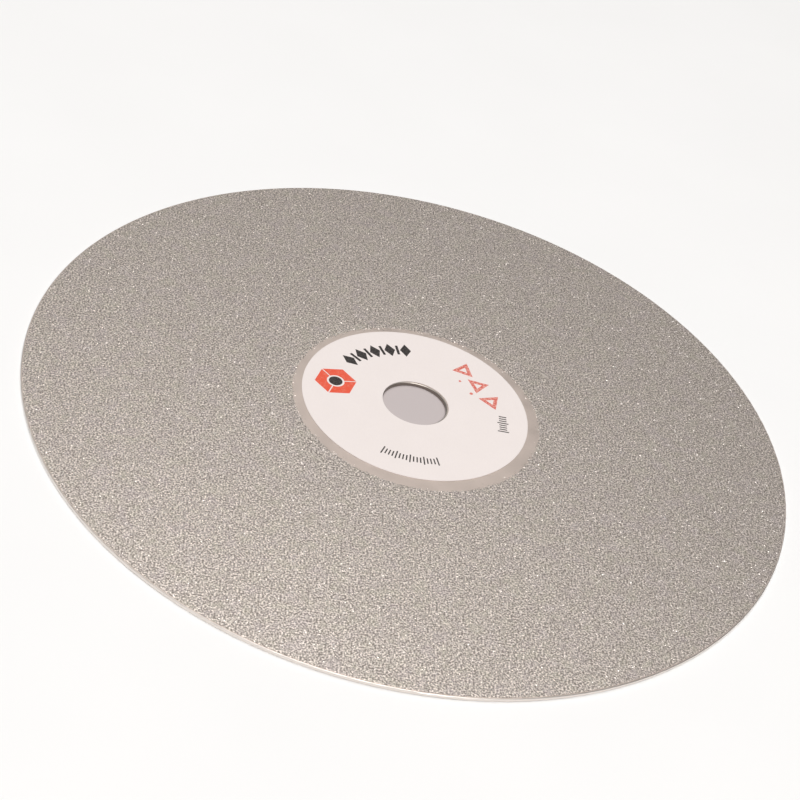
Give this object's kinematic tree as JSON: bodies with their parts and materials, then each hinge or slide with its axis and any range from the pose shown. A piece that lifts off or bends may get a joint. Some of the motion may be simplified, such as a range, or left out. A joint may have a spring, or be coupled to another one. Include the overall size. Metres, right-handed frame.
{
  "type": "diamond flat lap disc",
  "caption": "Thin round steel lap disc with one diamond-coated face, a plated rim and back, a round paper label and a central arbor bore.",
  "frame": {"origin": "centre of the arbor bore, on the back face that the disc rests on", "axes": "+Z along the spin axis, out of the diamond-coated working face; +X to the right of the label with its lower caption nearest, +Y away from the lower caption"},
  "size_m": [0.15, 0.15, 0.0009],
  "materials": {
    "plated_steel": "steel with a thin bright nickel flash, satin",
    "satin_nickel": "matte electroplated nickel, warm grey",
    "bond_nickel": "rough electroplated nickel between the grains",
    "diamond_grit": "fine sparkling diamond grains in nickel",
    "label_glue": "thin clear-yellow pressure-sensitive glue",
    "label_paper": "smooth off-white label stock",
    "black_ink": "matte black printing ink",
    "orange_ink": "matte orange-red printing ink",
    "stamp_ink": "uneven hand-stamped red ink"
  },
  "bodies": {
    "root": {"steel_disc": "plated_steel", "nickel_strike_coat": "satin_nickel", "nickel_bond_coat": "bond_nickel", "diamond_grit": "diamond_grit", "label_adhesive": "label_glue", "label_paper": "label_paper", "name_band_ink": "black_ink", "emblem_tile_ink": "orange_ink", "emblem_centre_ink": "black_ink", "lower_caption_ink": "black_ink", "side_caption_ink": "black_ink", "grade_stamp_ink": "stamp_ink"}
  },
  "joints": []
}
